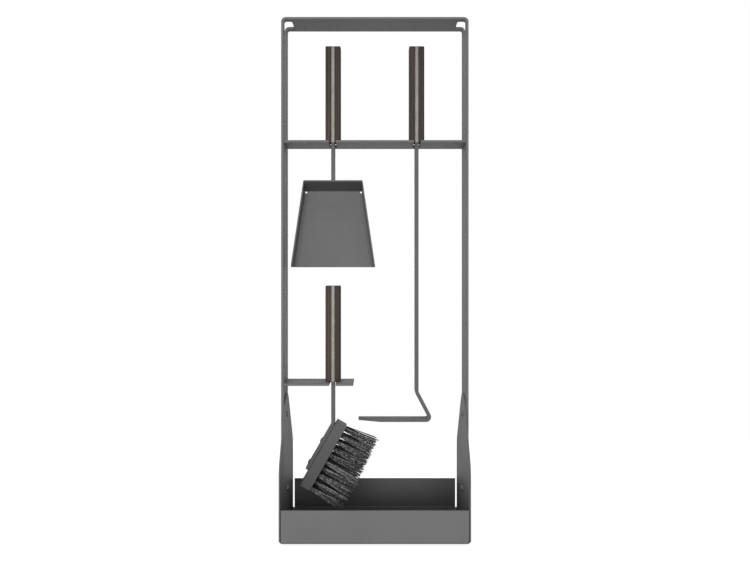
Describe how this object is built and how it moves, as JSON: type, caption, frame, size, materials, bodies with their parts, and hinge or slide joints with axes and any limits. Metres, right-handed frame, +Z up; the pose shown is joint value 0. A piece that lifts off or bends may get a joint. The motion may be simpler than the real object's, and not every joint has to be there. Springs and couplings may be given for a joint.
{
  "type": "fireplace tool set",
  "caption": "Fireplace tool set: a flat-strip hoop on a folded ash tray, with a shovel, a poker and a hearth brush that hang in open-front slots by their wooden handles.",
  "frame": {"origin": "on the floor, below the middle of the stand (bottom centre of the bounding box)", "axes": "+X to the right seen from the front, +Y to the back, +Z up; the tools leave their slots towards -Y"},
  "size_m": [0.284, 0.16, 0.78],
  "materials": {
    "coated_steel": "fine matt anthracite powder coat",
    "dark_wood": "smoked hardwood, oiled, straight grain along the handle",
    "blackened_steel": "black oxide, satin",
    "black_block": "matt moulded",
    "bristle": "stiff black fibre, slightly glossy",
    "foot_rubber": "matt"
  },
  "bodies": {
    "stand": {"frame_hoop": "coated_steel", "base_tray": "coated_steel", "tool_rail": "coated_steel", "brush_bracket": "coated_steel", "side_screws": "blackened_steel", "foot_pads": "foot_rubber"},
    "shovel": {"shovel_bar": "coated_steel", "shovel_handle_left": "dark_wood", "shovel_handle_right": "dark_wood", "shovel_rivets": "blackened_steel", "shovel_pan": "coated_steel"},
    "poker": {"poker_bar": "coated_steel", "poker_handle_left": "dark_wood", "poker_handle_right": "dark_wood", "poker_rivets": "blackened_steel"},
    "brush": {"brush_bar": "coated_steel", "brush_handle_left": "dark_wood", "brush_handle_right": "dark_wood", "brush_rivets": "blackened_steel", "brush_block": "black_block", "brush_screws": "blackened_steel", "brush_bristles": "bristle"}
  },
  "joints": [
    {"name": "shovel_pull", "type": "slide", "parent": "stand", "child": "shovel", "axis": [0, -1, 0], "range_m": [0, 0.12]},
    {"name": "poker_pull", "type": "slide", "parent": "stand", "child": "poker", "axis": [0, -1, 0], "range_m": [0, 0.12]},
    {"name": "brush_pull", "type": "slide", "parent": "stand", "child": "brush", "axis": [0, -1, 0], "range_m": [0, 0.05]}
  ]
}
